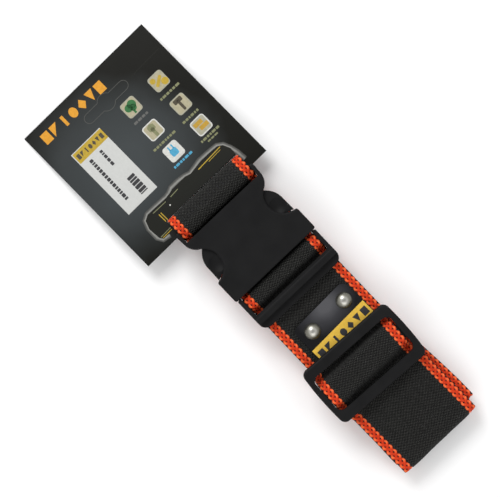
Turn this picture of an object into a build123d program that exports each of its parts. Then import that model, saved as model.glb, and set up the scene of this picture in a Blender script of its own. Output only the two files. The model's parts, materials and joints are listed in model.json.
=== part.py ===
from build123d import *
import math
import os

# A 50 mm work belt folded flat: X runs along the belt, Y across it, Z up from the face it rests on.
# The origin is on the underside of the bundle, on the belt's centre line.

# Webbing
belt_width = 50.0
braid_width = 4.9
strap_thickness = 1.8
layer_pitch = 2.3
half_strap = strap_thickness / 2
wrap_gap = 0.15

# Heights of the middle of each folded layer, from the lowest up
layer_6 = half_strap
layer_5 = layer_6 + layer_pitch
layer_4 = layer_5 + layer_pitch
layer_3 = layer_4 + layer_pitch
layer_2 = layer_3 + layer_pitch
layer_1 = layer_2 + layer_pitch
return_layer = layer_2 + 2.7
front_layer = return_layer + 2.2

# Ends of the folds along X
outer_fold_end = 132.4
inner_fold_end = 126.9
left_outer_fold_end = -19.5
left_inner_fold_end = -14.0
front_join = 64.7
rear_join = 86.1
return_end = 93.0

# Female buckle half
female_left = -39.6
female_right = 7.2
plate_left = -32.6
female_bottom = 12.2
female_height = 12.2
female_wall = 2.3
collar_half_width = 28.1
ear_half_width = 27.3
ear_inner = 25.2
strap_bar_x = -39.0
strap_bar_width = 3.6
strap_bar_bottom = 14.4
strap_bar_height = 3.6
cavity_bottom = female_bottom + female_wall
cavity_top = female_bottom + female_height - female_wall

# Male buckle half
plug_clearance = 0.3
plug_bottom = cavity_bottom + plug_clearance
plug_top = cavity_top - plug_clearance
plug_half_width = 26.3
boss_left = 2.0
boss_right = 7.0
frame_left = 7.5
frame_right = 28.2
frame_half_width = 27.4
window_half_width = 25.15
window_right = 19.3
cross_bar_x = 9.9
cross_bar_width = 3.6
cross_bar_bottom = 16.3
cross_bar_height = 3.6
latch_pivot_x = 3.4
latch_pivot_y = 16.5
latch_root_radius = 2.5
latch_root_clearance = 0.08

# Tri-glide slider
slider_x = 75.15
slider_y = -1.9
slider_turn = -2.3
slider_length = 34.3
slider_half_width = 28.2
slider_bulge = 0.9
slider_bottom = 17.7
slider_height = 4.6
slider_bar = 6.1
slider_window_half = 25.75
slider_window_shift = -0.2
slider_window_radius = 3.4
hump_y = -2.2
centre_bar_width = 8.3
centre_bar_height = 2.5

# Patch, label and rivets
patch_left = 37.4
patch_right = 61.6
patch_low = -17.2
patch_high = 19.9
patch_turn = 1.8
patch_thickness = 1.2
label_left = 51.8
label_right = 60.7
label_thickness = 0.25
rivet_places = [(44.6, 12.9), (45.1, -9.8)]
rivet_radius = 4.4
rivet_dome = 2.6
post_radius = 1.5
washer_radius = 4.0
washer_thickness = 0.7

# Hang card
card_left = -132.0
card_right = -38.4
card_low = -48.4
card_high = 37.2
card_thickness = 0.4
card_turn = 0.9
slit_x = -47.2
slit_z = 10.4
slit_width = 2.5
slit_length = 50.5
hanger_x = -115.6
hanger_y = -4.3
hanger_length = 30.0
hanger_width = 5.5
hanger_bulge_radius = 4.8
knockout_gap = 0.06
sticker_left = -108.4
sticker_right = -64.8
sticker_low = -37.0
sticker_high = -16.3
sticker_thickness = 0.12

os.makedirs("parts", exist_ok=True)


def block(x0, x1, y0, y1, z0, z1):
    """A box between two corners."""
    middle = Pos((x0 + x1) / 2, (y0 + y1) / 2, (z0 + z1) / 2)
    return middle * Box(x1 - x0, y1 - y0, z1 - z0)


def bar_along_y(x0, x1, half_length, z0, z1, radius):
    """A bar across the belt with rounded edges."""
    section = Plane.XZ * Pos((x0 + x1) / 2, (z0 + z1) / 2) * RectangleRounded(x1 - x0, z1 - z0, radius)
    return extrude(section, amount=half_length, both=True)


def strap_run(name, corners, radii, holes=None, y=0.0):
    """Write one run of the strap, its middle at y, as its black web and its two edge braids."""
    path = FilletPolyline(*[(x, z) for x, z in corners], radius=radii)
    profile = Plane.XZ * trace(path, strap_thickness)
    web_half = belt_width / 2 - braid_width
    web = Pos(0, y, 0) * extrude(profile, amount=web_half, both=True)
    if holes is not None:
        web = web - holes
    export_step(web, "parts/" + name + "_web.step")
    braid = extrude(profile, amount=braid_width / 2, both=True)
    braid_y = web_half + braid_width / 2
    export_step(Pos(0, y + braid_y, 0) * braid, "parts/" + name + "_braid_left.step")
    export_step(Pos(0, y - braid_y, 0) * braid, "parts/" + name + "_braid_right.step")


def bundle_strap():
    """The folded part of the belt: from the slider round five folds to the end that meets the buckle run."""
    outer = outer_fold_end - half_strap
    inner = inner_fold_end - half_strap
    left_outer = left_outer_fold_end + half_strap
    left_inner = left_inner_fold_end + half_strap
    tight = 0.98 * layer_pitch / 2
    wide = 0.98 * 3 * layer_pitch / 2
    corners = [
        (rear_join, front_layer),
        (97.0, front_layer),
        (108.0, layer_1),
        (outer, layer_1),
        (outer, layer_4),
        (left_inner, layer_4),
        (left_inner, layer_5),
        (inner, layer_5),
        (inner, layer_6),
        (left_outer, layer_6),
        (left_outer, layer_3),
        (inner, layer_3),
        (inner, layer_2),
        (inner - 1.7, layer_2),
    ]
    radii = [18.0, 18.0, wide, wide, tight, tight, tight, tight, wide, wide, tight, tight]
    strap_run("bundle", corners, radii)


def front_strap():
    """The run from the slider over the male cross bar and back to its riveted end under the patch."""
    wrap = half_strap + wrap_gap
    over = cross_bar_bottom + cross_bar_height + wrap
    under = cross_bar_bottom - wrap
    round_x = cross_bar_x - wrap
    corners = [
        (return_end, return_layer),
        (17.2, return_layer),
        (13.2, under),
        (round_x, under),
        (round_x, over),
        (14.4, over),
        (17.8, front_layer),
        (front_join, front_layer),
    ]
    posts = [
        Pos(x, y, front_layer) * Cylinder(post_radius + 0.05, 20)
        for x, y in rivet_places
    ]
    strap_run("front", corners, [2.5, 2.5, 1.9, 1.9, 1.9, 1.9], posts)


def slider_strap():
    """The hump of strap that goes up over the slider's centre bar."""
    top = slider_bottom + centre_bar_height + half_strap + wrap_gap + 0.2
    half_top = centre_bar_width / 2 + 1.1
    half_foot = half_top + 4.3
    corners = [
        (front_join + 0.3, front_layer),
        (slider_x - half_foot, front_layer),
        (slider_x - half_top, top),
        (slider_x + half_top, top),
        (slider_x + half_foot, front_layer),
        (rear_join - 0.3, front_layer),
    ]
    strap_run("slider", corners, [0.9, 2.2, 2.2, 0.9], y=hump_y)


def loop_strap():
    """The run that leaves the bundle, turns up through the card's slit and closes round the female bar."""
    wrap = half_strap + wrap_gap
    over = strap_bar_bottom + strap_bar_height + wrap
    under = strap_bar_bottom - wrap
    round_x = strap_bar_x + strap_bar_width + wrap
    corners = [
        (inner_fold_end - half_strap - 2.2, layer_2),
        (-31.0, layer_2),
        (slit_x, 6.0),
        (slit_x, 15.0),
        (-39.3, over),
        (round_x, over),
        (round_x, under),
        (-40.4, under),
        (-43.9, 14.6),
    ]
    strap_run("loop", corners, [12.0, 4.2, 4.2, 2.5, 1.9, 1.9, 2.0])


def loop_stitching():
    """Rows of stitches through the folded end that closes the loop on the female half."""
    stitch = Box(1.9, 0.5, 0.35)
    row = []
    for index in range(13):
        y = -18.0 + 3.0 * index
        row.append(Pos(-42.6, y, 18.62) * Rot(0, -27.6, 0) * stitch)
    return Compound(row)


def female_housing():
    """Hollow shell with a mouth, two thumb notches and two ears that hold the strap bar."""
    with BuildSketch() as plan:
        with BuildLine():
            Line((female_left, 0), (female_left, ear_half_width - 1.5))
            RadiusArc((female_left, ear_half_width - 1.5), (female_left + 1.5, ear_half_width), 1.5)
            Line((female_left + 1.5, ear_half_width), (-31.8, ear_half_width - 0.4))
            ThreePointArc((-31.8, ear_half_width - 0.4), (-28.2, 25.6), (-25.4, 22.4))
            ThreePointArc((-25.4, 22.4), (-17.3, 18.0), (-7.6, 24.6))
            Line((-7.6, 24.6), (-6.6, collar_half_width))
            Line((-6.6, collar_half_width), (female_right, collar_half_width))
            Line((female_right, collar_half_width), (female_right, 0))
            mirror(about=Plane.XZ)
        make_face()
        fillet(plan.vertices().filter_by(lambda v: -26 < v.X < -25), 0.7)
        fillet(plan.vertices().filter_by(lambda v: -8 < v.X < 8 and abs(v.Y) > 5), 1.2)
    shell = Pos(0, 0, female_bottom) * extrude(plan.sketch, amount=female_height)
    faces = shell.faces().sort_by(Axis.Z)
    shell = fillet(faces[0].edges() + faces[-1].edges(), 1.0)
    top = female_bottom + female_height
    shell = shell - block(female_left - 5, plate_left, -ear_inner, ear_inner, female_bottom - 1, top + 1)
    shell = shell - block(-29.5, -20.0, -20.4, 20.4, cavity_bottom, cavity_top)
    shell = shell - block(-26.2, -20.0, -22.0, 22.0, cavity_bottom, cavity_top)
    shell = shell - block(-25.0, -1.0, -23.9, 23.9, cavity_bottom, cavity_top)
    shell = shell - block(-1.2, female_right + 5, -26.6, 26.6, cavity_bottom, cavity_top)
    for side in (-1, 1):
        rib_y = 5.6 * side
        shell = shell + block(-29.6, -14.0, rib_y - 0.8, rib_y + 0.8, cavity_bottom - 0.1, cavity_top + 0.1)
    bar_z = strap_bar_bottom + strap_bar_height
    bar = bar_along_y(strap_bar_x, strap_bar_x + strap_bar_width, ear_inner + 0.6, strap_bar_bottom, bar_z, 1.3)
    return shell + bar


def latch_arm(side):
    """One springy arm: a round root, a stem, and a pad whose shoulder catches behind the collar."""
    with BuildSketch() as plan:
        with BuildLine():
            Line((latch_pivot_x, 15.2), (-6.0, 15.2))
            Line((-6.0, 15.2), (-24.0, 18.4))
            ThreePointArc((-24.0, 18.4), (-25.7, 19.8), (-25.0, 21.7))
            ThreePointArc((-25.0, 21.7), (-20.8, 25.2), (-15.0, 26.4))
            Line((-15.0, 26.4), (-7.3, 26.6))
            Line((-7.3, 26.6), (-8.3, 23.4))
            Line((-8.3, 23.4), (-5.0, 22.4))
            Line((-5.0, 22.4), (-1.5, 17.8))
            Line((-1.5, 17.8), (latch_pivot_x, 17.8))
            Line((latch_pivot_x, 17.8), (latch_pivot_x, 15.2))
        make_face()
        with Locations((latch_pivot_x, latch_pivot_y)):
            Circle(latch_root_radius)
    arm = Pos(0, 0, plug_bottom) * extrude(plan.sketch, amount=plug_top - plug_bottom)
    thumb_dish = Pos(-14.2, 21.4, plug_top + 6.6) * Sphere(8.0)
    arm = arm - thumb_dish
    if side < 0:
        arm = mirror(arm, about=Plane.XZ)
    return arm


def male_body():
    """Plug with a centre tongue and two latch sockets, and a frame with a strap window and end bars."""
    frame_bottom = plug_bottom - 0.4
    frame_top = plug_top + 0.6
    boss = block(boss_left, boss_right, -plug_half_width, plug_half_width, plug_bottom, plug_top)
    tongue = block(-22.0, boss_left + 1, -4.2, 4.2, plug_bottom + 0.5, plug_top - 0.5)
    tip_edges = tongue.edges().filter_by(Axis.Z).sort_by(Axis.X)[:2]
    tongue = fillet(tip_edges, 2.5)
    body = boss + tongue
    for side in (-1, 1):
        inner = min(side * window_half_width, side * plug_half_width)
        outer = max(side * window_half_width, side * plug_half_width)
        body = body + block(boss_left, frame_left + 2, inner, outer, plug_bottom, plug_top)
        socket_y = side * latch_pivot_y
        socket_z = (plug_bottom + plug_top) / 2
        socket_radius = latch_root_radius + latch_root_clearance
        body = body - Pos(latch_pivot_x, socket_y, socket_z) * Cylinder(socket_radius, 20)
    with BuildSketch() as plan:
        with BuildLine():
            Line((frame_left, 0), (frame_left, frame_half_width - 0.8))
            RadiusArc((frame_left, frame_half_width - 0.8), (frame_left + 0.8, frame_half_width), 0.8)
            Line((frame_left + 0.8, frame_half_width), (23.6, frame_half_width))
            ThreePointArc((23.6, frame_half_width), (26.9, 26.1), (frame_right, 22.8))
            Line((frame_right, 22.8), (frame_right, 0))
            mirror(about=Plane.XZ)
        make_face()
    outline = Pos(0, 0, frame_bottom) * extrude(plan.sketch, amount=frame_top - frame_bottom + 1)
    rails = block(frame_left, frame_right, -frame_half_width, frame_half_width, frame_bottom, frame_top)
    window = block(0, window_right, -window_half_width, window_half_width, 0, 40)
    strap_space = block(0, 40, -window_half_width, window_half_width, 0, front_layer + half_strap + 0.3)
    bar_low = front_layer + half_strap + 0.3
    rails = rails - window - strap_space
    lip_step = block(window_right + 4.9, 40, -40, 40, bar_low + 3.4, 40)
    rails = rails - lip_step
    rail_edges = rails.edges().filter_by(Axis.X).group_by(Axis.Z)[-1]
    rails = fillet(rail_edges.sort_by(Axis.Y)[0], 1.2)
    rails = fillet(rails.edges().filter_by(Axis.X).group_by(Axis.Z)[-1].sort_by(Axis.Y)[-1], 1.2)
    end_bar = bar_along_y(window_right, window_right + 4.9, frame_half_width - 0.4, bar_low, frame_top + 0.2, 2.2)
    lip = bar_along_y(window_right + 4.0, frame_right, frame_half_width, bar_low, bar_low + 3.4, 1.5)
    frame = (rails + end_bar + lip) & outline
    bar_top = cross_bar_bottom + cross_bar_height
    bar = bar_along_y(
        cross_bar_x, cross_bar_x + cross_bar_width, window_half_width + 0.6, cross_bar_bottom, bar_top, 1.3
    )
    return body + frame + bar


def slider_frame():
    """Flat frame with two slots on either side of a thinner centre bar."""
    half_length = slider_length / 2
    with BuildSketch() as plan:
        with BuildLine():
            Line((-half_length, 0), (-half_length, slider_half_width))
            ThreePointArc(
                (-half_length, slider_half_width),
                (0, slider_half_width + slider_bulge),
                (half_length, slider_half_width),
            )
            Line((half_length, slider_half_width), (half_length, 0))
            mirror(about=Plane.XZ)
        make_face()
        fillet(plan.vertices().filter_by(lambda v: abs(v.Y) > 5), 3.6)
    frame = extrude(plan.sketch, amount=slider_height)
    frame = fillet(frame.faces().sort_by(Axis.Z)[-1].edges(), 1.3)
    frame = fillet(frame.faces().sort_by(Axis.Z)[0].edges(), 0.8)
    window_x = half_length - slider_bar
    window = block(-window_x, window_x, -slider_window_half, slider_window_half, -1, slider_height + 1)
    window = fillet(window.edges().filter_by(Axis.Z), slider_window_radius)
    frame = frame - Pos(0, slider_window_shift, 0) * window
    half_bar = centre_bar_width / 2
    bar = bar_along_y(-half_bar, half_bar, slider_window_half + 0.8, 0.2, 0.2 + centre_bar_height, 0.9)
    return Pos(slider_x, slider_y, slider_bottom) * Rot(0, 0, slider_turn) * (frame + bar)


def on_patch(shape):
    """Turn a shape with the patch, about the patch's middle."""
    x, y = (patch_left + patch_right) / 2, (patch_low + patch_high) / 2
    return Pos(x, y, 0) * Rot(0, 0, patch_turn) * Pos(-x, -y, 0) * shape


def patch():
    """Glossy patch under the rivets, with rounded corners on its buckle side."""
    width = patch_right - patch_left
    length = patch_high - patch_low
    plate = Rectangle(width, length)
    plate = fillet(plate.vertices().group_by(Axis.X)[0], 3.6)
    middle = Pos((patch_left + patch_right) / 2, (patch_low + patch_high) / 2, front_layer + half_strap)
    plate = on_patch(middle * extrude(plate, amount=patch_thickness))
    for x, y in rivet_places:
        plate = plate - Pos(x, y, front_layer) * Cylinder(post_radius + 0.05, 20)
    return plate


def label_strip():
    """Thin bright strip on the patch, running under the slider."""
    z = front_layer + half_strap + patch_thickness
    return on_patch(block(label_left, label_right, patch_low, patch_high, z, z + label_thickness))


def rivet_set():
    """Domed caps, the posts under them and the washers behind the strap."""
    cap_z = front_layer + half_strap + patch_thickness
    washer_top = return_layer - half_strap
    sphere_radius = (rivet_radius ** 2 + rivet_dome ** 2) / (2 * rivet_dome)
    caps = []
    posts = []
    washers = []
    for x, y in rivet_places:
        ball = Pos(x, y, cap_z + rivet_dome - sphere_radius) * Sphere(sphere_radius)
        keep = block(x - 6, x + 6, y - 6, y + 6, cap_z, cap_z + 5)
        caps.append(ball & keep)
        height = cap_z - washer_top
        posts.append(Pos(x, y, washer_top + height / 2) * Cylinder(post_radius, height))
        washers.append(Pos(x, y, washer_top - washer_thickness / 2) * Cylinder(washer_radius, washer_thickness))
    return Compound(caps), Compound(posts), Compound(washers)


def on_card(shape):
    """Place a shape drawn flat about the slit at the card's slope."""
    drop = slit_z - card_thickness / 2 - 0.05
    slope = math.degrees(math.asin(drop / (slit_x - card_left + 0.8)))
    return Pos(slit_x, 0, slit_z) * Rot(0, -slope, 0) * shape


def card_shapes():
    """The hang card with its strap slit, the knock-out in its hanging slot, and its sticker."""
    half = card_thickness / 2
    middle = Pos((card_left + card_right) / 2 - slit_x, (card_low + card_high) / 2, 0)
    sheet = Rot(0, 0, card_turn) * middle * Box(card_right - card_left, card_high - card_low, card_thickness)
    sheet = sheet - Box(slit_width, slit_length, 5)
    place = Rot(0, 0, card_turn) * Pos(hanger_x - slit_x, hanger_y, 0)
    slot = SlotOverall(hanger_length, hanger_width, rotation=90) + Circle(hanger_bulge_radius)
    hole = place * Pos(0, 0, -2) * extrude(slot, amount=4)
    inner_length = hanger_length - 2 * knockout_gap
    inner_width = hanger_width - 2 * knockout_gap
    plug = SlotOverall(inner_length, inner_width, rotation=90) + Circle(hanger_bulge_radius - knockout_gap)
    knockout = place * Pos(0, 0, -half) * extrude(plug, amount=card_thickness)
    sticker = Rot(0, 0, card_turn) * block(
        sticker_left - slit_x, sticker_right - slit_x, sticker_low, sticker_high, half, half + sticker_thickness
    )
    return on_card(sheet - hole), on_card(knockout), on_card(sticker)


bundle_strap()
front_strap()
slider_strap()
loop_strap()
export_step(loop_stitching(), "parts/loop_stitching.step")
export_step(female_housing(), "parts/female_housing.step")
export_step(male_body(), "parts/male_body.step")
export_step(latch_arm(1), "parts/latch_arm_left.step")
export_step(latch_arm(-1), "parts/latch_arm_right.step")
export_step(slider_frame(), "parts/slider_frame.step")
export_step(patch(), "parts/patch.step")
export_step(label_strip(), "parts/label_strip.step")
rivet_caps, rivet_posts, rivet_washers = rivet_set()
export_step(rivet_caps, "parts/rivet_caps.step")
export_step(rivet_posts, "parts/rivet_posts.step")
export_step(rivet_washers, "parts/rivet_washers.step")
hang_card, card_knockout, card_sticker = card_shapes()
export_step(hang_card, "parts/hang_card.step")
export_step(card_knockout, "parts/card_knockout.step")
export_step(card_sticker, "parts/card_sticker.step")
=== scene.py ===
import bmesh
import bpy
import json
import math
import random
import numpy as np
from mathutils import Matrix, Vector


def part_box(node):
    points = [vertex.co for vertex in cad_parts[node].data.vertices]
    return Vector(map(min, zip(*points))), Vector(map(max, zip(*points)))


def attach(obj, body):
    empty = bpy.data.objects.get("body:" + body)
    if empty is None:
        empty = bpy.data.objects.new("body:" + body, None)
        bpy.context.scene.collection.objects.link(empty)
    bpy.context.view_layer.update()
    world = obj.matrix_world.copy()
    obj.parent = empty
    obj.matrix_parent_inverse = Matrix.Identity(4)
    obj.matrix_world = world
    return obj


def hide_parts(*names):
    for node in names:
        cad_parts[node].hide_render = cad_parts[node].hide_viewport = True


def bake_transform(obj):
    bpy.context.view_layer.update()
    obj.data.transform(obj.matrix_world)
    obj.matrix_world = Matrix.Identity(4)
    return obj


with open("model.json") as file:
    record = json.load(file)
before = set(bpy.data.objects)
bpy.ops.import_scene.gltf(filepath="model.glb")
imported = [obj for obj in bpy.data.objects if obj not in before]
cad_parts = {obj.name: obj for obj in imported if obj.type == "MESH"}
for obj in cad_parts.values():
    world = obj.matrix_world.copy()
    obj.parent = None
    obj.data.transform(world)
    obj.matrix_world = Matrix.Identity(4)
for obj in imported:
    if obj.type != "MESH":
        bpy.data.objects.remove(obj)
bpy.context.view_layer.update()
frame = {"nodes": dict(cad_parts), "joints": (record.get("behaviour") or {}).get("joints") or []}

# All the lengths below are in millimetres, in the frame of the CAD model, and MM turns them into metres.
MM = 0.001


def node_box(name):
    """A node's lowest and highest corners at rest, in millimetres."""
    low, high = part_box(name)
    return Vector(low) / MM, Vector(high) / MM


# ---------------------------------------------------------------- places taken from the frame
bundle_low, bundle_high = node_box("bundle_web")
loop_high = node_box("loop_web")[1]
front_low, front_high = node_box("front_web")
patch_low = node_box("patch")[0]
label_low, label_high = node_box("label_strip")
slider_low, slider_high = node_box("slider_frame")

HALF = 0.9  # half the strap's thickness
PITCH = 2.3  # height of one folded layer
RIB = 1.3  # length of one rib of the weave
WARP = 1.05  # spacing of its threads
LAYER = [bundle_low.z + HALF + PITCH * index for index in range(6)]
RETURN_Z = front_low.z + HALF
FRONT_Z = patch_low.z - HALF
SLIDER_X = (slider_low.x + slider_high.x) / 2
FOLD_OUTER = bundle_high.x - HALF
FOLD_INNER = loop_high.x + 2.2
FOLD_LEFT = bundle_low.x + HALF
TAIL_SPLIT = 124.0
CALM_BELOW = -44.0  # the strap lies still left of here, where the card's slit turns about it


# ---------------------------------------------------------------- node materials
def new_material(name):
    """A node material, its tree and its principled shader."""
    material = bpy.data.materials.new(name)
    material.use_nodes = True
    tree = material.node_tree
    shader = tree.nodes["Principled BSDF"]
    return material, tree, shader


def add(tree, kind, **values):
    """Add a node and set its input sockets by name."""
    node = tree.nodes.new(kind)
    for key, value in values.items():
        node.inputs[key.replace("_", " ")].default_value = value
    return node


def ramp(tree, source, stops):
    """A colour ramp fed by a socket; stops are (position, colour)."""
    node = tree.nodes.new("ShaderNodeValToRGB")
    tree.links.new(source, node.inputs["Fac"])
    elements = node.color_ramp.elements
    while len(elements) < len(stops):
        elements.new(0.5)
    for element, (position, colour) in zip(elements, stops):
        element.position = position
        element.color = (*colour, 1.0)
    return node.outputs["Color"]


def maths(tree, operation, first, second=None):
    """One maths node; each operand is a socket or a number."""
    node = tree.nodes.new("ShaderNodeMath")
    node.operation = operation
    for index, operand in enumerate((first, second)):
        if operand is None:
            continue
        if isinstance(operand, (int, float)):
            node.inputs[index].default_value = operand
        else:
            tree.links.new(operand, node.inputs[index])
    return node.outputs["Value"]


def bump(tree, shader, height, strength, distance):
    """Feed a height socket to the shader's normal."""
    node = add(tree, "ShaderNodeBump", Strength=strength, Distance=distance)
    tree.links.new(height, node.inputs["Height"])
    tree.links.new(node.outputs["Normal"], shader.inputs["Normal"])


def object_noise(tree, scale, detail, roughness):
    """Noise in the object's own coordinates."""
    place = tree.nodes.new("ShaderNodeTexCoord")
    noise = add(tree, "ShaderNodeTexNoise", Scale=scale, Detail=detail, Roughness=roughness)
    tree.links.new(place.outputs["Object"], noise.inputs["Vector"])
    return noise.outputs["Fac"]


def mesh_vector(tree, name):
    """A vector attribute kept on the mesh, whole and in its separate parts."""
    attribute = tree.nodes.new("ShaderNodeAttribute")
    attribute.attribute_name = name
    parts = tree.nodes.new("ShaderNodeSeparateXYZ")
    tree.links.new(attribute.outputs["Vector"], parts.inputs["Vector"])
    return attribute.outputs["Vector"], parts.outputs


def grey(value):
    """One value in all three channels."""
    return (value, value, value)


def reach_from(tree, x, y, width, height):
    """Distance over the object's XY plane, scaled by width and height and then measured from (x, y)."""
    place = tree.nodes.new("ShaderNodeTexCoord")
    spread = tree.nodes.new("ShaderNodeMapping")
    spread.inputs["Location"].default_value = (-x, -y, 0)
    spread.inputs["Scale"].default_value = (width, height, 0)
    tree.links.new(place.outputs["Object"], spread.inputs["Vector"])
    reach = tree.nodes.new("ShaderNodeVectorMath")
    reach.operation = "LENGTH"
    tree.links.new(spread.outputs["Vector"], reach.inputs[0])
    return reach.outputs["Value"]


def webbing_material():
    """Black woven webbing: ribs across, warp threads along, pale fibre specks and lint."""
    material, tree, shader = new_material("black_webbing")
    vector, parts = mesh_vector(tree, "weave")
    ribs = maths(tree, "SINE", maths(tree, "MULTIPLY", parts["X"], 2 * math.pi / RIB))
    warp = maths(tree, "SINE", maths(tree, "MULTIPLY", parts["Y"], 2 * math.pi / WARP))
    weave = maths(tree, "MULTIPLY", ribs, warp)
    noise = add(tree, "ShaderNodeTexNoise", Scale=2.2, Detail=6.0, Roughness=0.7)
    tree.links.new(vector, noise.inputs["Vector"])
    height = maths(tree, "ADD", maths(tree, "MULTIPLY", weave, 0.6), noise.outputs["Fac"])
    bump(tree, shader, height, 0.9, 0.0009)
    specks = add(tree, "ShaderNodeTexVoronoi", Scale=1.15, Randomness=1.0)
    tree.links.new(vector, specks.inputs["Vector"])
    speck = maths(tree, "LESS_THAN", specks.outputs["Distance"], 0.15)
    lint = maths(tree, "MULTIPLY", speck, maths(tree, "GREATER_THAN", noise.outputs["Fac"], 0.55))
    shade = maths(tree, "ADD", maths(tree, "MULTIPLY", weave, 0.45), noise.outputs["Fac"])
    base = ramp(tree, shade, [(0.3, grey(0.0006)), (0.5, (0.0045, 0.0045, 0.004)), (0.85, (0.065, 0.065, 0.06))])
    mix = tree.nodes.new("ShaderNodeMix")
    mix.data_type = "RGBA"
    tree.links.new(lint, mix.inputs[0])
    tree.links.new(base, mix.inputs[6])
    mix.inputs[7].default_value = (0.13, 0.13, 0.13, 1)
    tree.links.new(mix.outputs[2], shader.inputs["Base Color"])
    shader.inputs["Roughness"].default_value = 0.85
    shader.inputs["Specular IOR Level"].default_value = 0.15
    shader.inputs["Sheen Weight"].default_value = 0.04
    shader.inputs["Sheen Roughness"].default_value = 0.4
    return material


def braid_material():
    """Bright orange-red yarn with a painted highlight on the strands and painted shade in the hollows between them.
    """
    material, tree, shader = new_material("orange_braid")
    vector, parts = mesh_vector(tree, "yarn")
    fibres = maths(tree, "MULTIPLY", parts["Y"], 5.0)
    twist = maths(tree, "SINE", maths(tree, "ADD", fibres, maths(tree, "MULTIPLY", parts["X"], 7.5)))
    noise = add(tree, "ShaderNodeTexNoise", Scale=1.6, Detail=5.0, Roughness=0.65)
    tree.links.new(vector, noise.inputs["Vector"])
    height = maths(tree, "ADD", maths(tree, "MULTIPLY", twist, 0.3), noise.outputs["Fac"])
    bump(tree, shader, height, 0.7, 0.0003)
    # painted light: the yarn's third value, with noise, lightens the strands' tops and darkens the hollows
    painted_light = maths(tree, "ADD", maths(tree, "MULTIPLY", noise.outputs["Fac"], 0.3), parts["Z"])
    stops = [
        (0.3, (0.24, 0.01, 0.002)),
        (0.48, (0.44, 0.02, 0.004)),
        (0.7, (0.66, 0.05, 0.01)),
        (1.0, (0.9, 0.18, 0.05)),
    ]
    colour = ramp(tree, painted_light, stops)
    tree.links.new(colour, shader.inputs["Base Color"])
    shader.inputs["Roughness"].default_value = 0.65
    shader.inputs["Specular IOR Level"].default_value = 0.15
    return material


def plastic_material():
    """Black moulded plastic with a fine spark texture and faint handling wear."""
    material, tree, shader = new_material("buckle_plastic")
    grain = object_noise(tree, 2600.0, 3.0, 0.6)
    cloud = object_noise(tree, 90.0, 4.0, 0.5)
    bump(tree, shader, grain, 0.25, 0.00012)
    base = ramp(tree, cloud, [(0.3, (0.003, 0.003, 0.0033)), (0.75, (0.006, 0.006, 0.0063))])
    tree.links.new(base, shader.inputs["Base Color"])
    rough = ramp(tree, cloud, [(0.3, grey(0.52)), (0.7, grey(0.64))])
    tree.links.new(rough, shader.inputs["Roughness"])
    shader.inputs["Specular IOR Level"].default_value = 0.15
    return material


def vinyl_material():
    """Dark glossy patch with a soft grain and a pale painted sheen about one spot, broken up by noise."""
    material, tree, shader = new_material("patch_vinyl")
    grain = object_noise(tree, 900.0, 3.0, 0.5)
    cloud = object_noise(tree, 60.0, 3.0, 0.5)
    bump(tree, shader, grain, 0.12, 0.00015)
    # painted sheen: the base colour is lighter about one spot of the patch and near black away from it
    reach = reach_from(tree, 3.3, 0.2, 82.0, 60.0)
    painted_sheen = maths(tree, "SUBTRACT", reach, maths(tree, "MULTIPLY", cloud, 0.4))
    base = ramp(tree, painted_sheen, [(0.0, (0.072, 0.072, 0.078)), (0.4, (0.03, 0.03, 0.034)), (0.9, (0.003, 0.003, 0.004))])
    tree.links.new(base, shader.inputs["Base Color"])
    shader.inputs["Roughness"].default_value = 0.26
    shader.inputs["Specular IOR Level"].default_value = 0.35
    return material


def nickel_material():
    """Warm nickel plate with painted light: a painted highlight where the surface faces up and painted shade towards
    the rim.
    """
    material, tree, shader = new_material("nickel")
    cloud = object_noise(tree, 350.0, 5.0, 0.6)
    scratch = object_noise(tree, 2200.0, 2.0, 0.5)
    bump(tree, shader, scratch, 0.08, 0.0001)
    # painted light and shade: the base colour follows how far the surface faces up
    place = tree.nodes.new("ShaderNodeTexCoord")
    parts = tree.nodes.new("ShaderNodeSeparateXYZ")
    tree.links.new(place.outputs["Normal"], parts.inputs["Vector"])
    painted_light = maths(tree, "ADD", parts.outputs["Z"], maths(tree, "MULTIPLY", cloud, 0.06))
    stops = [
        (0.35, (0.05, 0.05, 0.045)),
        (0.6, (0.2, 0.195, 0.17)),
        (0.9, (0.24, 0.235, 0.2)),
        (1.0, (0.52, 0.51, 0.47)),
    ]
    base = ramp(tree, painted_light, stops)
    tree.links.new(base, shader.inputs["Base Color"])
    rough = ramp(tree, cloud, [(0.3, grey(0.3)), (0.7, grey(0.38))])
    tree.links.new(rough, shader.inputs["Roughness"])
    shader.inputs["Metallic"].default_value = 1.0
    return material


def woven_label_material():
    """Yellow woven tape with a fine thread pattern."""
    material, tree, shader = new_material("label_weave")
    place = tree.nodes.new("ShaderNodeTexCoord")
    parts = tree.nodes.new("ShaderNodeSeparateXYZ")
    tree.links.new(place.outputs["Object"], parts.inputs["Vector"])
    across = maths(tree, "SINE", maths(tree, "MULTIPLY", parts.outputs["X"], 2 * math.pi / 0.0004))
    along = maths(tree, "SINE", maths(tree, "MULTIPLY", parts.outputs["Y"], 2 * math.pi / 0.0005))
    bump(tree, shader, maths(tree, "MULTIPLY", across, along), 0.3, 0.0001)
    cloud = object_noise(tree, 220.0, 5.0, 0.65)
    base = ramp(tree, cloud, [(0.25, (0.54, 0.33, 0.02)), (0.8, (0.74, 0.47, 0.045))])
    tree.links.new(base, shader.inputs["Base Color"])
    shader.inputs["Roughness"].default_value = 0.6
    return material


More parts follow.
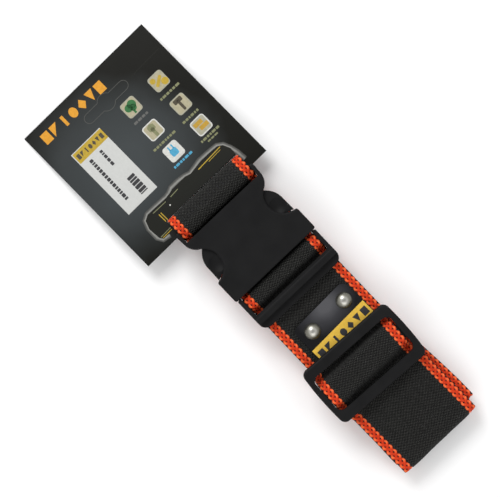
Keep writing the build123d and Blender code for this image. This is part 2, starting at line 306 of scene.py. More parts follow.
def card_material():
    """Near-black coated card with a painted blue-grey sheen about its middle, fading to near black at the edges."""
    material, tree, shader = new_material("card_print")
    cloud = object_noise(tree, 28.0, 3.0, 0.5)
    # painted sheen: the base colour is lightest about the card's middle, broken up by noise
    reach = reach_from(tree, -2.0, -0.5, 24.0, 21.0)
    glow = maths(tree, "SUBTRACT", reach, maths(tree, "MULTIPLY", cloud, 0.5))
    fibre = object_noise(tree, 1300.0, 3.0, 0.6)
    bump(tree, shader, fibre, 0.1, 0.0001)
    stops = [(0.0, (0.04, 0.046, 0.048)), (0.45, (0.03, 0.034, 0.035)), (0.95, (0.005, 0.005, 0.0035))]
    base = ramp(tree, glow, stops)
    tree.links.new(base, shader.inputs["Base Color"])
    rough = ramp(tree, cloud, [(0.3, grey(0.3)), (0.7, grey(0.38))])
    tree.links.new(rough, shader.inputs["Roughness"])
    shader.inputs["Specular IOR Level"].default_value = 0.12
    return material


def ink_material(name, colour, spread=0.12, roughness=0.42):
    """Printed ink with slight unevenness."""
    material, tree, shader = new_material(name)
    cloud = object_noise(tree, 700.0, 4.0, 0.6)
    dark = tuple(max(0.0, channel * (1 - spread)) for channel in colour)
    light = tuple(min(1.0, channel * (1 + spread)) for channel in colour)
    base = ramp(tree, cloud, [(0.3, dark), (0.7, light)])
    tree.links.new(base, shader.inputs["Base Color"])
    bump(tree, shader, cloud, 0.06, 0.0001)
    shader.inputs["Roughness"].default_value = roughness
    shader.inputs["Specular IOR Level"].default_value = 0.2
    return material


def floor_material():
    """Plain pale studio floor."""
    material, tree, shader = new_material("studio_floor")
    cloud = object_noise(tree, 3.0, 2.0, 0.5)
    base = ramp(tree, cloud, [(0.3, grey(0.86)), (0.7, grey(0.9))])
    tree.links.new(base, shader.inputs["Base Color"])
    shader.inputs["Roughness"].default_value = 0.9
    return material


WEBBING = webbing_material()
BRAID = braid_material()
PLASTIC = plastic_material()
VINYL = vinyl_material()
NICKEL = nickel_material()
LABEL = woven_label_material()
CARD = card_material()
STICKER = ink_material("sticker_paper", (0.46, 0.465, 0.45), 0.03, 0.45)
THREAD = ink_material("black_thread", (0.02, 0.02, 0.021), 0.3, 0.8)
INK = {
    "amber": ink_material("ink_amber", (0.56, 0.25, 0.018)),
    "yellow": ink_material("ink_yellow", (0.38, 0.26, 0.025)),
    "pale": ink_material("ink_pale", (0.3, 0.29, 0.22)),
    "grey": ink_material("ink_grey", (0.1, 0.1, 0.095)),
    "sand": ink_material("ink_sand", (0.17, 0.175, 0.09)),
    "dark": ink_material("ink_dark", (0.03, 0.03, 0.032)),
    "olive": ink_material("ink_olive", (0.003, 0.0034, 0.001)),
    "green": ink_material("ink_green", (0.025, 0.12, 0.035)),
    "orange": ink_material("ink_orange", (0.38, 0.23, 0.03)),
    "blue": ink_material("ink_blue", (0.06, 0.28, 0.43)),
    "brown": ink_material("ink_brown", (0.06, 0.05, 0.032)),
    "stone": ink_material("ink_stone", (0.33, 0.3, 0.2)),
    "halo": ink_material("ink_halo", (0.06, 0.06, 0.055)),
    "glow": ink_material("ink_glow", (0.2, 0.2, 0.185)),
    "white": ink_material("ink_white", (0.5, 0.5, 0.47)),
}


# ---------------------------------------------------------------- mesh helpers
def new_piece(name, points, faces, material, body, smooth=True):
    """Make a mesh piece from points in millimetres; it rides on a body unless that is None."""
    mesh = bpy.data.meshes.new(name)
    mesh.from_pydata([tuple(float(c) * MM for c in point) for point in points], [], faces)
    shape = bmesh.new()
    shape.from_mesh(mesh)
    bmesh.ops.recalc_face_normals(shape, faces=shape.faces)
    shape.to_mesh(mesh)
    shape.free()
    mesh.materials.append(material)
    piece = bpy.data.objects.new(name, mesh)
    bpy.context.scene.collection.objects.link(piece)
    mesh.shade_smooth() if smooth else mesh.shade_flat()
    if body is not None:
        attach(piece, body)
    return piece


def set_vectors(piece, name, values):
    """Keep a vector for each vertex, which the material reads."""
    attribute = piece.data.attributes.new(name, "FLOAT_VECTOR", "POINT")
    attribute.data.foreach_set("vector", np.asarray(values, dtype=np.float32).ravel())


def rounded_path(corners, radii):
    """A dense line through the corners in the XZ plane, each corner rounded by an arc."""
    points = [np.array(corners[0], float)]
    for index, radius in enumerate(radii):
        before, corner, after = (np.array(corners[index + k], float) for k in range(3))
        back = (before - corner) / np.linalg.norm(before - corner)
        ahead = (after - corner) / np.linalg.norm(after - corner)
        half_angle = math.acos(np.clip(np.dot(back, ahead), -1, 1)) / 2
        reach = radius / math.tan(half_angle)
        centre = corner + (back + ahead) / np.linalg.norm(back + ahead) * radius / math.sin(half_angle)
        start = corner + back * reach - centre
        finish = corner + ahead * reach - centre
        first = math.atan2(start[1], start[0])
        turn = (math.atan2(finish[1], finish[0]) - first + math.pi) % (2 * math.pi) - math.pi
        steps = max(2, int(abs(turn) / math.radians(3)))
        for step in range(steps + 1):
            angle = first + turn * step / steps
            points.append(centre + radius * np.array([math.cos(angle), math.sin(angle)]))
    points.append(np.array(corners[-1], float))
    return np.array(points)


def smooth_step(value):
    """Ease from 0 to 1."""
    value = np.clip(value, 0, 1)
    return value * value * (3 - 2 * value)


class Run:
    """One stretch of strap: where its middle line goes, and how it drifts and bows sideways."""

    def __init__(self, corners, radii, drift=None, bow=None):
        line = rounded_path(corners, radii)
        steps = np.linalg.norm(np.diff(line, axis=0), axis=1)
        keep = np.concatenate([[True], steps > 1e-6])
        self.line = line[keep]
        self.reach = np.concatenate([[0], np.cumsum(np.linalg.norm(np.diff(self.line, axis=0), axis=1))])
        self.length = self.reach[-1]
        self.drift = drift
        self.bow = bow

    def at(self, along):
        """Middle points, tangents and normals at distances along the run."""
        x = np.interp(along, self.reach, self.line[:, 0])
        z = np.interp(along, self.reach, self.line[:, 1])
        small = 0.12
        ahead = np.clip(along + small, 0, self.length)
        behind = np.clip(along - small, 0, self.length)
        dx = np.interp(ahead, self.reach, self.line[:, 0]) - np.interp(behind, self.reach, self.line[:, 0])
        dz = np.interp(ahead, self.reach, self.line[:, 1]) - np.interp(behind, self.reach, self.line[:, 1])
        size = np.hypot(dx, dz)
        return x, z, dx / size, dz / size

    def place(self, along, side, lift, forward=0.0):
        """Points at distances along, sideways and off the middle of the strap."""
        x, z, tx, tz = self.at(along)
        y = side
        if self.bow is not None:
            y = y + np.sign(side) * self.bow(x, z) * smooth_step((np.abs(side) - 8) / 17)
        if self.drift is not None:
            y = y + self.drift(x, z)
        wave = 0.07 * np.sin(x * 0.37 + side * 0.21) + 0.05 * np.sin(x * 0.83 - side * 0.4)
        wave = wave * smooth_step((x - CALM_BELOW) / 6.0)
        off = lift + wave
        return np.stack([x - tz * off + tx * forward, y + 0 * x, z + tx * off + tz * forward], axis=-1)


def web_piece(name, run, body):
    """The black web: ribbed across its middle and thin under the two edge braids."""
    step = RIB / 4
    count = int(run.length / step) + 1
    along = np.linspace(0, run.length, count)
    columns = [25.1, 24.5, 22.4, 20.4, 20.0, 17.0, 12.5, 7.5, 2.5]
    sides = [-c for c in columns] + columns[::-1]
    half_heights = [0.12, 0.3, 0.3, 0.35, 0.8, 0.86, 0.86, 0.86, 0.86]
    half_heights = half_heights + half_heights[::-1]
    rib = 0.045 * np.cos(2 * math.pi * along / RIB)
    rings = []
    weave = []
    for face in (1, -1):
        order = range(len(sides)) if face > 0 else range(len(sides) - 1, -1, -1)
        for index in order:
            side = sides[index]
            height = half_heights[index]
            ribbed = rib if height > 0.5 else 0 * rib
            rings.append(run.place(along, np.full(count, side), face * (height + ribbed)))
            weave.append(np.stack([along, np.full(count, side), np.full(count, face * 3.0)], axis=-1))
    grid = np.stack(rings, axis=1)
    around = grid.shape[1]
    faces = []
    for row in range(count - 1):
        for column in range(around):
            after = (column + 1) % around
            faces.append(
                (row * around + column, row * around + after, (row + 1) * around + after, (row + 1) * around + column)
            )
    faces.append(tuple(range(around - 1, -1, -1)))
    faces.append(tuple((count - 1) * around + column for column in range(around)))
    piece = new_piece(name, grid.reshape(-1, 3), faces, WEBBING, body)
    set_vectors(piece, "weave", np.stack(weave, axis=1).reshape(-1, 3))
    return piece


PLAIT_LENGTH = 9.75
PLAIT_SWING = 1.75
PLAIT_LIFT = 0.16
PLAIT_MIDDLE = 22.6
STRAND_WIDTH = 0.8
STRAND_HEIGHT = 0.66
CORE_WIDTH = 1.95
CORE_HEIGHT = 0.34


def plait_piece(name, run, middle, body, start):
    """Three strands plaited along one edge of the strap, over a flat core coloured dark as painted shade between the
    strands.
    """
    step = 0.4
    around = 8
    count = int(run.length / step) + 1
    along = np.linspace(0, run.length, count)
    points = []
    yarn = []
    faces = []
    for strand in range(4):
        core = strand == 3
        turn = 2 * math.pi * ((along + start) / PLAIT_LENGTH + strand / 3)
        zigzag = 0 * along if core else np.arcsin(0.94 * np.sin(turn)) / math.asin(0.94)
        slope = np.gradient(PLAIT_SWING * zigzag, along)
        lift = 0 * along if core else PLAIT_LIFT * np.sin(2 * turn + math.pi)
        side = middle + PLAIT_SWING * zigzag
        size = np.hypot(1, slope)
        width = CORE_WIDTH if core else STRAND_WIDTH
        height = CORE_HEIGHT if core else STRAND_HEIGHT
        # painted light: the core gets a low level, painted shade in the gaps, and the strands a higher one, lightest
        # where they swing out
        painted_light_level = 0.16 + 0 * along if core else 0.38 + 0.36 * np.abs(zigzag) ** 3
        base = len(points)
        for step_round in range(around):
            angle = 2 * math.pi * step_round / around
            across = width * math.cos(angle)
            up = height * math.sin(angle)
            placed = run.place(along, side + across / size, lift + up, -across * slope / size)
            points.append(placed)
            # painted shade: each ring is lighter at its top and bottom than at its sides
            shade = painted_light_level * (0.55 + 0.45 * abs(math.sin(angle)))
            yarn.append(np.stack([along * 1.2 + strand * 31, np.full(count, angle), shade + 0.1], axis=-1))
        for column in range(around):
            after = (column + 1) % around
            for row in range(count - 1):
                first = (base + column) * count + row
                second = (base + after) * count + row
                faces.append((first, first + 1, second + 1, second))
        faces.append(tuple((base + column) * count for column in range(around)))
        faces.append(tuple((base + column) * count + count - 1 for column in range(around - 1, -1, -1)))
    piece = new_piece(name, np.concatenate(points), faces, BRAID, body)
    set_vectors(piece, "yarn", np.concatenate(yarn))
    return piece


# ---------------------------------------------------------------- the strap
def layer_drift(x, z):
    """How far the folded layers wander sideways towards the tail."""
    far = smooth_step((x - 62.0) / 60.0)
    inner = (z > LAYER[3] - 1.3) & (z < LAYER[4] + 1.3) & (x < FOLD_OUTER - 2.5)
    lower = z < LAYER[1] + 1.2
    return np.where(inner, 2.9 * far, np.where(lower, -1.0 * far, -0.5 * far))


def slider_drift(x, z):
    """The strap sits to one side in the slider's window."""
    near = smooth_step((x - 59.0) / 9.0) * (1 - smooth_step((x - 84.0) / 11.0))
    rear = smooth_step((x - 84.0) / 11.0)
    return -(2.55 + 0.04 * (x - SLIDER_X)) * near - (0.9 - 0.4 * smooth_step((x - 97.0) / 30.0)) * rear


def hump_bow(x, z):
    """The strap is pulled a touch wider on the slider's centre bar."""
    near = smooth_step((x - 59.0) / 7.0) * (1 - smooth_step((x - 86.0) / 8.0))
    return 0.1 * near


def loop_bow(x, z):
    """The strap cups a little where it passes under the thumb notches."""
    under = 1 - smooth_step((z - 10.6) / 1.2)
    return -2.9 * under * smooth_step((x + 32.0) / 6.0) * (1 - smooth_step((x + 15.0) / 8.0))


HUMP_TOP = slider_low.z + 2.5 + HALF + 0.35
HUMP_HALF = 5.25
HUMP_FOOT = 9.55
CROSS_OVER = 19.9 + HALF + 0.15
CROSS_UNDER = 16.3 - HALF - 0.15
CROSS_X = front_low.x + HALF
WRAP_END = 30.0
LOOP_SLIT = -47.2
LOOP_OVER = 18.0 + HALF + 0.15
LOOP_UNDER = 14.4 - HALF - 0.15
LOOP_ROUND = -35.4 + HALF + 0.15
TIGHT = 0.98 * PITCH / 2
WIDE = 0.98 * 3 * PITCH / 2

wrap_run = Run(
    [
        (front_high.x, RETURN_Z),
        (17.2, RETURN_Z),
        (13.2, CROSS_UNDER),
        (CROSS_X, CROSS_UNDER),
        (CROSS_X, CROSS_OVER),
        (14.4, CROSS_OVER),
        (17.8, FRONT_Z),
        (WRAP_END, FRONT_Z),
    ],
    [2.5, 2.5, 1.9, 1.9, 1.9, 1.9],
)
front_run = Run(
    [
        (WRAP_END, FRONT_Z),
        (SLIDER_X - HUMP_FOOT, FRONT_Z),
        (SLIDER_X - HUMP_HALF, HUMP_TOP),
        (SLIDER_X, HUMP_TOP),
    ],
    [1.6, 2.6],
    slider_drift,
    hump_bow,
)
rear_run = Run(
    [
        (SLIDER_X, HUMP_TOP),
        (SLIDER_X + HUMP_HALF, HUMP_TOP),
        (SLIDER_X + HUMP_FOOT, FRONT_Z),
        (97.0, FRONT_Z),
        (108.0, LAYER[5]),
        (TAIL_SPLIT, LAYER[5]),
    ],
    [2.6, 1.6, 18.0, 18.0],
    slider_drift,
    hump_bow,
)
bundle_run = Run(
    [
        (TAIL_SPLIT, LAYER[5]),
        (FOLD_OUTER, LAYER[5]),
        (FOLD_OUTER, LAYER[2]),
        (FOLD_LEFT + 5.5, LAYER[2]),
        (FOLD_LEFT + 5.5, LAYER[1]),
        (FOLD_INNER, LAYER[1]),
        (FOLD_INNER, LAYER[0]),
        (FOLD_LEFT, LAYER[0]),
        (FOLD_LEFT, LAYER[3]),
        (FOLD_INNER, LAYER[3]),
        (FOLD_INNER, LAYER[4]),
        (FOLD_INNER - 1.9, LAYER[4]),
    ],
    [WIDE, WIDE, TIGHT, TIGHT, TIGHT, TIGHT, WIDE, WIDE, TIGHT, TIGHT],
    layer_drift,
)
loop_run = Run(
    [
        (FOLD_INNER - 1.9, LAYER[4]),
        (-31.0, LAYER[4]),
        (LOOP_SLIT, 6.0),
        (LOOP_SLIT, 15.0),
        (-39.3, LOOP_OVER),
        (LOOP_ROUND, LOOP_OVER),
        (LOOP_ROUND, LOOP_UNDER),
        (-40.4, LOOP_UNDER),
        (-43.9, 14.6),
    ],
    [12.0, 4.2, 4.2, 2.5, 1.9, 1.9, 2.0],
    layer_drift,
    loop_bow,
)

CAD_STRAPS = {"front": "front", "rear": "slider", "bundle": "bundle", "loop": "loop"}
PLAIT_OFFSET = 1.6  # the right plait starts this far along from the left one


def strap_pieces():
    """Every stretch of strap as a web and two plaited edges; a stretch that crosses a joint rides on no body."""
    stretches = [
        ("wrap", wrap_run, "belt", None),
        ("front", front_run, None, ("belt", "slider", 34.0, 64.5)),
        ("rear", rear_run, None, ("slider", "belt", 87.0, TAIL_SPLIT)),
        ("bundle", bundle_run, "belt", None),
        ("loop", loop_run, None, ("belt", "female_half", FOLD_INNER - 4, -26.0)),
    ]
    covered = 0.0
    for name, run, body, crossing in stretches:
        made = {
            "web": web_piece(name + "_webbing", run, body),
            "braid_left": plait_piece(name + "_plait_left", run, PLAIT_MIDDLE, body, covered),
            "braid_right": plait_piece(name + "_plait_right", run, -PLAIT_MIDDLE, body, covered + PLAIT_OFFSET),
        }
        covered += run.length
        for part, piece in made.items():
            if name in CAD_STRAPS:
                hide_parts(CAD_STRAPS[name] + "_" + part)
            if crossing is not None:
                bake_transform(piece)


strap_pieces()


# ---------------------------------------------------------------- stitches of the strap loop
def capsule(start, end, radius, around=8, rings=3):
    """Points and faces of a thread between two points, with rounded ends."""
    start, end = Vector(start), Vector(end)
    axis = (end - start).normalized()
    side = axis.orthogonal().normalized()
    other = axis.cross(side)
    points = []
    profile = []
    for ring in range(rings):
        angle = math.pi / 2 * (1 - (ring + 0.3) / rings)
        profile.append((start, -math.sin(angle) * radius, math.cos(angle) * radius))
    for ring in reversed(range(rings)):
        angle = math.pi / 2 * (1 - (ring + 0.3) / rings)
        profile.append((end, math.sin(angle) * radius, math.cos(angle) * radius))
    for centre, forward, wide in profile:
        for index in range(around):
            turn = 2 * math.pi * index / around
            points.append(centre + axis * forward + side * (wide * math.cos(turn)) + other * (wide * math.sin(turn)))
    faces = []
    for ring in range(len(profile) - 1):
        for index in range(around):
            after = (index + 1) % around
            low, high = ring * around, (ring + 1) * around
            faces.append((low + index, low + after, high + after, high + index))
    faces.append(tuple(range(around - 1, -1, -1)))
    last = (len(profile) - 1) * around
    faces.append(tuple(last + index for index in range(around)))
    return points, faces


def joined(parts):
    """Join several (points, faces) pairs."""
    points, faces = [], []
    for part_points, part_faces in parts:
        base = len(points)
        points.extend(part_points)
        faces.extend(tuple(base + index for index in face) for face in part_faces)
    return points, faces


def loop_stitches():
    """Black stitches across the sewn end of the strap loop."""
    low, high = node_box("loop_stitching")
    parts = []
    for index in range(13):
        y = -18.0 + 3.0 * index
        parts.append(capsule((low.x + 0.1, y, low.z + 0.1), (high.x - 0.1, y + 0.25, high.z - 0.2), 0.27))
    points, faces = joined(parts)
    stitches = new_piece("loop_stitches", points, faces, THREAD, "female_half")
    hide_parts("loop_stitching")


loop_stitches()


# ---------------------------------------------------------------- printed marks
def rounded_rectangle(width, height, radius, steps=5):
    """Corner points of a rounded rectangle about its middle."""
    points = []
    for cx, cy, first in ((1, 1, 0), (-1, 1, 90), (-1, -1, 180), (1, -1, 270)):
        for step in range(steps + 1):
            angle = math.radians(first + 90 * step / steps)
            x = cx * (width / 2 - radius) + radius * math.cos(angle)
            y = cy * (height / 2 - radius) + radius * math.sin(angle)
            points.append((x, y))
    return points


def disc(radius, steps):
    """Points round a circle."""
    return [
        (radius * math.cos(2 * math.pi * step / steps), radius * math.sin(2 * math.pi * step / steps))
        for step in range(steps)
    ]


def moved(outline, x, y, turn):
    """An outline turned by degrees about its middle and then moved."""
    c, s = math.cos(math.radians(turn)), math.sin(math.radians(turn))
    return [(x + c * px - s * py, y + s * px + c * py) for px, py in outline]


def slab(outline, low, high, place):
    """A thin closed slab over an outline, put in place by a matrix."""
    count = len(outline)
    points = [place @ Vector((x, y, low)) for x, y in outline]
    points += [place @ Vector((x, y, high)) for x, y in outline]
    faces = [tuple(range(count - 1, -1, -1)), tuple(range(count, 2 * count))]
    for index in range(count):
        after = (index + 1) % count
        faces.append((index, after, count + after, count + index))
    return points, faces


class Print:
    """Thin ink marks collected by colour, on one flat surface."""

    def __init__(self, prefix, body, slot, place, turn=0.0):
        self.prefix = prefix
        self.body = body
        self.slot = slot
        self.place = place
        self.turn = turn
        self.marks = {}

    def mark(self, ink, outline, x, y, level=0, turn=0.0):
        """Add one mark, its middle at x and y; a higher level lies on a lower one."""
        outline = moved(moved(outline, 0, 0, turn), x, y, self.turn)
        low = 0.004 + 0.014 * level
        part = slab(outline, low, low + 0.016, self.place)
        self.marks.setdefault(ink, []).append(part)

    def make(self):
        """Make one piece for each colour of ink."""
        for ink, parts in self.marks.items():
            points, faces = joined(parts)
            new_piece(f"{self.prefix}_{ink}", points, faces, INK[ink], self.body, smooth=False)


def card_frame():
    """The place and slope of the hang card's upper face, read from its mesh."""
    mesh = frame["nodes"]["hang_card"].data
    up = max((p for p in mesh.polygons if p.normal.z > 0.9), key=lambda p: p.area)
    slope = math.atan2(up.normal.x, up.normal.z)
    pivot = next(joint for joint in frame["joints"] if joint["name"] == "card_swing")["pos_m"]
    pivot = Vector(pivot) / MM
    surface = (Vector(up.center) / MM - pivot).dot(up.normal)
    turn = Matrix.Rotation(slope, 4, "Y")
    return pivot, Matrix.Translation(pivot) @ turn @ Matrix.Translation((0, 0, surface))


CARD_TURN = 0.9
PATCH_TURN = 1.8
ROW_SEED = 7
LINE_SEED = 3
card_pivot, card_place = card_frame()
card_print = Print("card_ink", "card", "card_print", card_place, CARD_TURN)
GLYPHS = [
    [(-1, -1), (1, 0), (-1, 1)],
    disc(0.95, 16),
    [(-1, -0.95), (1, -0.95), (1, 0.95), (-1, 0.95)],
    [(-1, -1), (-0.1, -1), (1, 0), (-0.1, 1), (-1, 1), (0.1, 0)],
    [(-1, -0.35), (1, -0.35), (1, 0.35), (-1, 0.35)],
    [(0, -1), (1, 0), (0, 1), (-1, 0)],
    [(-1, -1), (1, -1), (-1, 1)],
]


def glyph_row(target, ink, x, first_y, last_y, half_x, half_y, level=0, order=(0, 1, 2, 3, 5, 1, 6)):
    """A row of plain geometric shapes in the place of a printed name."""
    for index, which in enumerate(order):
        y = first_y + (last_y - first_y) * index / (len(order) - 1)
        outline = [(px * half_x, py * half_y) for px, py in GLYPHS[which]]
        target.mark(ink, outline, x, y, level)


def card_icon(x, y, border, ground, figure, pictogram):
    """A pale bordered tile with a simple pictogram."""
    card_print.mark(border, rounded_rectangle(9.3, 9.3, 1.6), x, y, 0)
    card_print.mark(ground, rounded_rectangle(8.0, 8.0, 1.1), x, y, 1)
    for outline, dx, dy, turn in pictogram:
        larger = [(1.2 * px, 1.2 * py) for px, py in outline]
        card_print.mark(figure, larger, x + 1.15 * dx, y + 1.15 * dy, 2, turn)


BAR = rounded_rectangle(1.3, 5.6, 0.5)
HAMMER = [(BAR, 0.4, 0.0, 90), (rounded_rectangle(2.2, 4.4, 0.5), -2.2, 0.0, 0)]
WRENCH = [
    (rounded_rectangle(1.5, 5.4, 0.6), 0, 0, 35),
    (disc(1.7, 14), 1.8, 2.2, 0),
    (disc(1.3, 14), -1.7, -2.2, 0),
]
BRICKS = [
    (rounded_rectangle(2.0, 4.6, 0.3), -1.5, -0.6, 0),
    (rounded_rectangle(2.0, 4.6, 0.3), 1.0, 0.9, 0),
]
TREE = [
    (disc(2.1, 14), -0.9, 0.9, 0),
    (disc(1.8, 14), -0.4, -1.3, 0),
    (disc(1.6, 14), 0.6, 0.6, 0),
    (rounded_rectangle(3.0, 1.0, 0.3), 1.9, 0, 0),
]
BOLT = [(disc(2.0, 6), -1.4, 0, 0), (rounded_rectangle(4.6, 1.6, 0.3), 1.0, 0, 0)]
PLUG = [
    (rounded_rectangle(3.4, 3.6, 0.8), 0.4, 0, 0),
    (rounded_rectangle(2.0, 0.7, 0.2), -2.2, 1.0, 0),
    (rounded_rectangle(2.0, 0.7, 0.2), -2.2, -1.0, 0),
]


def card_icons():
    """Six trade tiles in two rows with caption bars."""
    tiles = [
        (-57.2, 21.9, "pale", "stone", "yellow", WRENCH, "sand", 8.0, (-6.2, 7.4)),
        (-40.4, 22.0, "pale", "stone", "brown", HAMMER, "sand", 8.2, (-6.2, 5.8)),
        (-25.0, 22.1, "white", "pale", "orange", BRICKS, "sand", 6.7, (-6.2, 7.0)),
        (-57.2, 2.2, "pale", "stone", "green", TREE, "grey", 7.8, (-5.0, 4.8)),
        (-40.4, 2.3, "white", "stone", "sand", BOLT, "sand", 8.2, (-7.4, 8.4)),
        (-25.0, 2.4, "white", "white", "blue", PLUG, "blue", 6.7, (-5.8, 7.0)),
    ]
    for x, y, border, ground, figure, pictogram, caption, beside, (low, high) in tiles:
        card_icon(x, y, border, ground, figure, pictogram)
        dash_row(card_print, caption, x + beside, y + low, y + high, 1.3)
    dash_row(card_print, "sand", -16.2, 18.7, 25.6, 0.9)


def dash_row(target, ink, x, low, high, width):
    """A broken thin bar that stands for a line of small print running along Y."""
    chance = random.Random(ROW_SEED + int(x * 10))
    y = low
    while y < high - 0.8:
        length = min(chance.uniform(1.0, 2.6), high - y)
        target.mark(ink, rounded_rectangle(width, length, min(width, length) * 0.2, 2), x, y + length / 2)
        y += length + 0.45


def dash_line(target, ink, y, low, high, height):
    """The same for small print running along X."""
    chance = random.Random(LINE_SEED + int(y * 10))
    x = low
    while x < high - 0.6:
        length = min(chance.uniform(0.9, 2.2), high - x)
        target.mark(ink, rounded_rectangle(length, height, min(height, length) * 0.2, 2), x + length / 2, y)
        x += length + 0.4


def ribbon(path, width):
    """The outline of a line of some width through points."""
    left, right = [], []
    for index, (x, y) in enumerate(path):
        before = path[max(index - 1, 0)]
        after = path[min(index + 1, len(path) - 1)]
        dx, dy = after[0] - before[0], after[1] - before[1]
        size = math.hypot(dx, dy)
        left.append((x - dy / size * width / 2, y + dx / size * width / 2))
        right.append((x + dy / size * width / 2, y - dx / size * width / 2))
    return left + right[::-1]


def hanger_line():
    """The pale die-cut line of the hanging slot, and above it a dark line of painted shade standing for a crease."""
    x, y, half, straight, bulge = -68.4, -4.3, 2.75, 12.25, 4.8
    reach = math.sqrt(bulge ** 2 - half ** 2)
    path = []
    for side in (1, -1):
        for step in range(9):
            angle = math.radians(180 * step / 8)
            path.append((x + side * half * math.cos(angle), y + side * (straight + half * math.sin(angle))))
        first = math.atan2(reach, -half)
        for step in range(9):
            angle = first + (math.pi * 2 - 2 * first) * step / 8
            path.append((x + side * bulge * math.cos(angle), y + side * bulge * math.sin(angle)))
    for index in range(len(path)):
        pair = [path[index], path[(index + 1) % len(path)]]
        card_print.mark("halo", ribbon(pair, 0.28), 0, 0, 0)
    # painted shade: a near-black line drawn where the card is creased
    card_print.mark("olive", ribbon([(x - 0.4, 13.0), (x - 0.8, 35.0)], 0.35), 0, 0, 0)


def card_figure():
    """The glowing outline printed round the place where the belt leaves the card."""
    path = [
        (4.0, 26.4), (-1.5, 25.9), (-5.5, 24.9), (-9.4, 23.2), (-11.2, 20.6), (-11.7, 15.0), (-12.0, 9.0),
        (-11.0, 3.6), (-10.6, 0.9), (-11.6, -2.4), (-12.2, -7.0), (-12.2, -11.6), (-11.0, -14.2), (-10.6, -17.0),
        (-10.9, -24.5), (-11.0, -30.0), (-9.4, -33.0), (-5.0, -34.6), (1.6, -34.7), (4.2, -33.2), (4.9, -29.0),
    ]
    edge = -1.4
    inside = [(max(x, -11.6) + 0.3, y) for x, y in path[2:18]]
    inside = [(min(x, edge), y) for x, y in inside] + [(edge, -34.4), (edge, 24.8)]
    for level, (ink, width) in enumerate((("halo", 3.0), ("grey", 1.9), ("glow", 0.95))):
        card_print.mark(ink, ribbon(path, width), 0, 0, level)
    card_print.mark("olive", inside, 0, 0, 3)
    card_print.mark("olive", [(edge, -34.4), (edge, -25.7), (4.2, -25.7), (4.2, -32.6), (2.4, -34.0)], 0, 0, 3)
    card_print.mark("yellow", ribbon([(-9.6, 21.5), (-9.3, 13.5), (-9.0, 5.2)], 0.5), 0, 0, 4)
    card_print.mark("yellow", ribbon([(-8.4, 20.5), (-8.2, 12.0)], 0.3), 0, 0, 4)
    card_print.mark("sand", ribbon([(-9.3, -9.5), (-9.0, -15.0)], 0.4), 0, 0, 4)
    card_print.mark("sand", ribbon([(-9.0, -18.5), (-9.2, -27.5)], 0.35), 0, 0, 4)
    card_print.mark("yellow", ribbon([(-6.7, -24.4), (edge - 0.1, -24.3)], 0.5), 0, 0, 4)
    card_print.mark("yellow", ribbon([(-6.7, -25.7), (edge - 0.1, -25.6)], 0.5), 0, 0, 4)
    card_print.mark("sand", ribbon([(2.4, -26.0), (2.6, -33.2)], 0.4), 0, 0, 4)
    card_print.mark("yellow", ribbon([(3.5, -26.0), (3.6, -32.6)], 0.4), 0, 0, 4)
    card_print.mark("white", disc(0.45, 10), -5.8, -18.2, 4)


glyph_row(card_print, "amber", -76.3, -2.6, -40.6, 3.1, 2.5, order=(2, 0, 5, 1, 4, 6, 2))
card_icons()
hanger_line()
card_figure()
card_print.make()


def sticker_marks():
    """Yellow end band and grey bars where the sticker's words would be."""
    low, high = node_box("card_sticker")
    above = card_place @ Matrix.Translation((0, 0, 0.12))
    sticker = Print("sticker_ink", "card", "sticker_paper", above, CARD_TURN)
    band_x = low.x - card_pivot.x + 3.4
    middle_y = (low.y + high.y) / 2
    sticker.mark("yellow", rounded_rectangle(6.4, high.y - low.y - 1.2, 0.3), band_x, middle_y)
    glyph_row(sticker, "brown", band_x, middle_y + 8.0, middle_y - 8.0, 1.5, 1.0, 1, (2, 0, 5, 1, 4, 6, 2))
    dash_line(sticker, "dark", middle_y + 2.2, band_x + 5.3, band_x + 16.5, 1.7)
    dash_line(sticker, "dark", middle_y + 4.4, band_x + 25.6, band_x + 37.0, 4.6)
    dash_line(sticker, "dark", middle_y - 4.9, band_x + 5.3, band_x + 33.6, 2.0)
    sticker.make()


sticker_marks()


def label_marks():
    """A row of plain dark shapes woven into the yellow label."""
    middle = (label_low + label_high) / 2
    turn = Matrix.Rotation(math.radians(PATCH_TURN), 4, "Z")
    place = Matrix.Translation((middle.x, middle.y, label_high.z)) @ turn
    woven = Print("label_ink", "belt", "label_yellow", place)
    glyph_row(woven, "dark", 0.1, 15.4, -15.4, 2.2, 1.9, order=(2, 0, 5, 1, 4, 6, 2))
    woven.make()


label_marks()


# ---------------------------------------------------------------- finishes of the CAD nodes
FINISH = {
    "female_housing": PLASTIC,
    "male_body": PLASTIC,
    "latch_arm_left": PLASTIC,
    "latch_arm_right": PLASTIC,
    "slider_frame": PLASTIC,
    "patch": VINYL,
    "label_strip": LABEL,
    "rivet_caps": NICKEL,
    "rivet_posts": NICKEL,
    "rivet_washers": NICKEL,
    "hang_card": CARD,
    "card_knockout": CARD,
    "card_sticker": STICKER,
}
for node, material in FINISH.items():
    mesh = frame["nodes"][node].data
    mesh.materials.clear()
    mesh.materials.append(material)


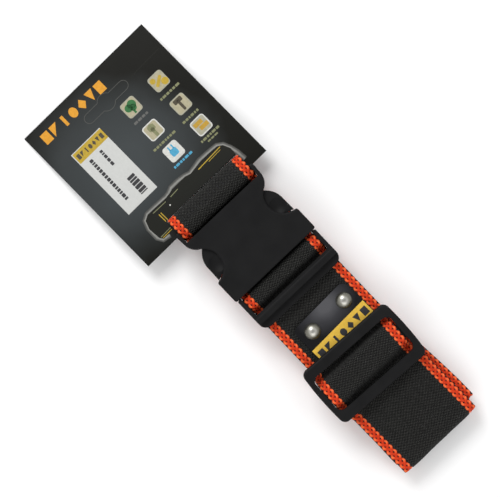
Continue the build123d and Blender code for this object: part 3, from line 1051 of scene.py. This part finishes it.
# ---------------------------------------------------------------- floor, light and camera
def area_light(name, place, target, width, height, energy):
    """A soft box that faces a target."""
    light = bpy.data.lights.new(name, "AREA")
    light.shape = "RECTANGLE"
    light.size = width
    light.size_y = height
    light.energy = energy
    lamp = bpy.data.objects.new(name, light)
    lamp.location = place
    lamp.rotation_mode = "QUATERNION"
    lamp.rotation_quaternion = (Vector(target) - Vector(place)).to_track_quat("-Z", "Y")
    bpy.context.scene.collection.objects.link(lamp)


def studio():
    """A pale floor, a bright room with a darker ceiling, and two soft boxes."""
    mesh = bpy.data.meshes.new("studio_floor")
    reach = 3.0
    corners = [(-reach, -reach, 0), (reach, -reach, 0), (reach, reach, 0), (-reach, reach, 0)]
    mesh.from_pydata(corners, [], [(0, 1, 2, 3)])
    mesh.materials.append(floor_material())
    floor = bpy.data.objects.new("studio_floor", mesh)
    floor.location.z = -0.0002
    bpy.context.scene.collection.objects.link(floor)
    world = bpy.data.worlds.new("studio_world")
    world.use_nodes = True
    tree = world.node_tree
    place = tree.nodes.new("ShaderNodeTexCoord")
    parts = tree.nodes.new("ShaderNodeSeparateXYZ")
    tree.links.new(place.outputs["Generated"], parts.inputs["Vector"])
    stops = [(0.0, grey(0.5)), (0.35, grey(1)), (0.8, grey(1)), (0.94, grey(0.42)), (1.0, grey(0.3))]
    tree.links.new(ramp(tree, parts.outputs["Z"], stops), tree.nodes["Background"].inputs["Color"])
    tree.nodes["Background"].inputs["Strength"].default_value = 0.98
    bpy.context.scene.world = world
    bpy.context.scene.view_settings.view_transform = "Standard"
    area_light("key_light", (-0.75, 0.15, 0.8), (0, 0, 0), 0.5, 0.5, 7.0)
    area_light("fill_light", (0.7, -0.5, 0.8), (0, 0, 0), 0.9, 0.9, 3.0)


CAMERA_LENS = 207.0
CAMERA_HEIGHT = 1485.0 + FRONT_Z
CAMERA_AIM = (-8.15, -3.76)
CAMERA_TURN = 46.42


def photo_camera():
    """A camera straight above, turned so that the belt runs from upper left to lower right."""
    data = bpy.data.cameras.new("camera")
    data.lens = CAMERA_LENS
    data.sensor_width = 36.0
    data.clip_start = 0.01
    camera = bpy.data.objects.new("camera", data)
    bpy.context.scene.collection.objects.link(camera)
    camera.location = (CAMERA_AIM[0] * MM, CAMERA_AIM[1] * MM, CAMERA_HEIGHT * MM)
    camera.rotation_euler = (0, 0, math.radians(CAMERA_TURN))
    bpy.context.scene.camera = camera


studio()
photo_camera()
